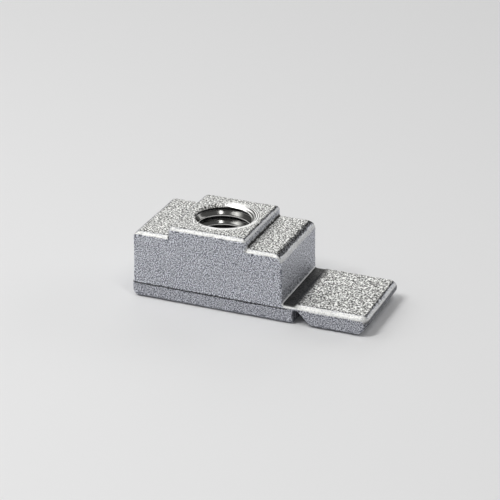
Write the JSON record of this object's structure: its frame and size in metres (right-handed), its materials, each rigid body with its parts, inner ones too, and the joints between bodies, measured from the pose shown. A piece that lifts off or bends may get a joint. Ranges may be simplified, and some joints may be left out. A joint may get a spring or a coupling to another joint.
{
  "type": "insert nut",
  "caption": "Die-cast insert nut: rectangular block with a threaded boss, and a flat snap-off tab at one end for holding it in a slot.",
  "frame": {"origin": "where the thread's axis meets the underside on which the nut lies", "axes": "+Z along the thread, out of the boss; +X along the nut towards the snap-off tab"},
  "size_m": [0.0317, 0.0122, 0.0104],
  "materials": {
    "cast_zinc": "tumbled, fine matt grain, unplated"
  },
  "bodies": {
    "root": {"insert_nut": "cast_zinc"}
  },
  "joints": []
}
